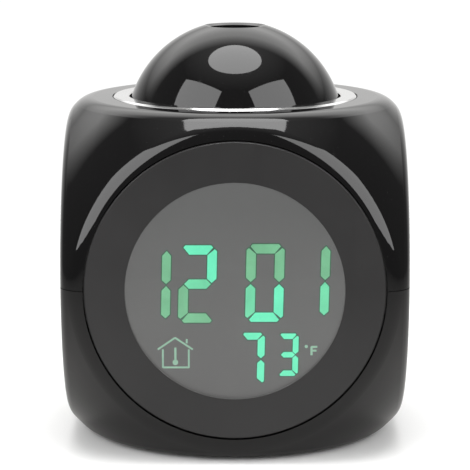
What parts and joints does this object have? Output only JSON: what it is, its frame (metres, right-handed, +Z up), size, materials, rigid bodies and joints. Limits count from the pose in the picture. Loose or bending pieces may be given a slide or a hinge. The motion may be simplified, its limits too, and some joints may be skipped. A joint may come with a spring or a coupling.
{
  "type": "projection alarm clock",
  "caption": "Cube-shaped desk alarm clock with a round front display, rear loudspeaker and a press dome on top that projects the time onto the ceiling.",
  "frame": {"origin": "middle of the base, on the surface that the rubber feet stand on", "axes": "+Z up, front with the display towards -Y, +X to the right seen from the front"},
  "size_m": [0.08, 0.08, 0.0974],
  "materials": {
    "gloss_shell": "polished black ABS",
    "bezel_black": "semi-matte dark front",
    "rear_black": "fine matte black",
    "window_clear": "clear acrylic",
    "trim_chrome": "polished chrome plating",
    "lcd_grey": "grey display glass",
    "guide_clear": "clear light guide",
    "inner_plastic": "black moulded plastic",
    "strip_rubber": "matte rubber",
    "led_white": "white moulded LED",
    "board_green": "green solder mask",
    "bright_steel": "zinc plated steel",
    "contact_nickel": "nickel plated",
    "magnet_steel": "plated magnet",
    "cone_paper": "black paper cone",
    "can_sleeve": "sleeved can",
    "sensor_black": "black epoxy bead",
    "led_red": "red lens LED",
    "lens_clear": "clear lens",
    "flex_amber": "amber film",
    "lead_sleeve": "sleeved copper leads",
    "plunger_plastic": "white plunger",
    "cell_wrap": "plain wrapped cell",
    "button_black": "satin black button"
  },
  "bodies": {
    "casing": {"backlight_leds": "led_white", "battery_cell_left": "cell_wrap", "battery_cell_middle": "cell_wrap", "battery_cell_right": "cell_wrap", "battery_contacts": "contact_nickel", "battery_springs": "bright_steel", "board_screws": "bright_steel", "casing_screws": "bright_steel", "condenser_lens": "lens_clear", "contact_strip": "strip_rubber", "controller_chip": "inner_plastic", "dc_socket_body": "inner_plastic", "dc_socket_contacts": "contact_nickel", "display_board": "board_green", "display_window": "window_clear", "dome_spring": "bright_steel", "dome_switch": "inner_plastic", "filter_capacitor": "can_sleeve", "front_bezel": "bezel_black", "key_boards": "board_green", "key_switches": "inner_plastic", "lcd_frame": "inner_plastic", "lcd_glass": "lcd_grey", "lens_ring": "inner_plastic", "light_guide": "guide_clear", "lower_casing": "gloss_shell", "power_leads": "lead_sleeve", "projection_lens": "lens_clear", "projection_slide": "lens_clear", "projector_barrel": "inner_plastic", "projector_board": "board_green", "projector_deck": "inner_plastic", "projector_led": "led_red", "quartz_crystal": "bright_steel", "rear_cover": "rear_black", "rubber_feet": "strip_rubber", "signal_leads": "lead_sleeve", "slide_flex": "flex_amber", "slide_holder": "inner_plastic", "speaker_basket": "bright_steel", "speaker_cone": "cone_paper", "speaker_magnet": "magnet_steel", "speaker_screws": "bright_steel", "temperature_sensor": "sensor_black", "trim_ring": "trim_chrome", "upper_casing": "gloss_shell", "voice_chip": "inner_plastic"},
    "dome": {"projector_dome": "gloss_shell", "dome_window": "window_clear"},
    "dome_switch_key": {"dome_switch_plunger": "plunger_plastic"},
    "door": {"battery_door": "rear_black"},
    "alarm_key": {"alarm_button": "button_black", "alarm_switch_plunger": "plunger_plastic"},
    "set_key": {"set_button": "button_black", "set_switch_plunger": "plunger_plastic"},
    "down_key": {"down_button": "button_black", "down_switch_plunger": "plunger_plastic"},
    "up_key": {"up_button": "button_black", "up_switch_plunger": "plunger_plastic"}
  },
  "joints": [
    {"name": "dome_press", "type": "slide", "parent": "casing", "child": "dome", "axis": [0, 0, -1], "range_m": [0, 0.0015], "stiffness_N_per_m": 600, "springref_m": -0.002, "deforming": ["dome_spring"]},
    {"name": "dome_switch_press", "type": "slide", "parent": "casing", "child": "dome_switch_key", "axis": [0, 0, -1], "range_m": [0, 0.00025]},
    {"name": "battery_door_off", "type": "slide", "parent": "casing", "child": "door", "axis": [0, 0, -1], "range_m": [0, 0.016]},
    {"name": "alarm_press", "type": "slide", "parent": "casing", "child": "alarm_key", "axis": [0, 0, 1], "range_m": [0, 0.0004], "stiffness_N_per_m": 1500, "springref_m": -0.0004},
    {"name": "set_press", "type": "slide", "parent": "casing", "child": "set_key", "axis": [0, 0, 1], "range_m": [0, 0.0004], "stiffness_N_per_m": 1500, "springref_m": -0.0004},
    {"name": "down_press", "type": "slide", "parent": "casing", "child": "down_key", "axis": [0, 0, 1], "range_m": [0, 0.0004], "stiffness_N_per_m": 1500, "springref_m": -0.0004},
    {"name": "up_press", "type": "slide", "parent": "casing", "child": "up_key", "axis": [0, 0, 1], "range_m": [0, 0.0004], "stiffness_N_per_m": 1500, "springref_m": -0.0004}
  ],
  "couplings": [
    {"joint": "dome_switch_press", "follows": "dome_press", "ratio": 0.16667}
  ]
}
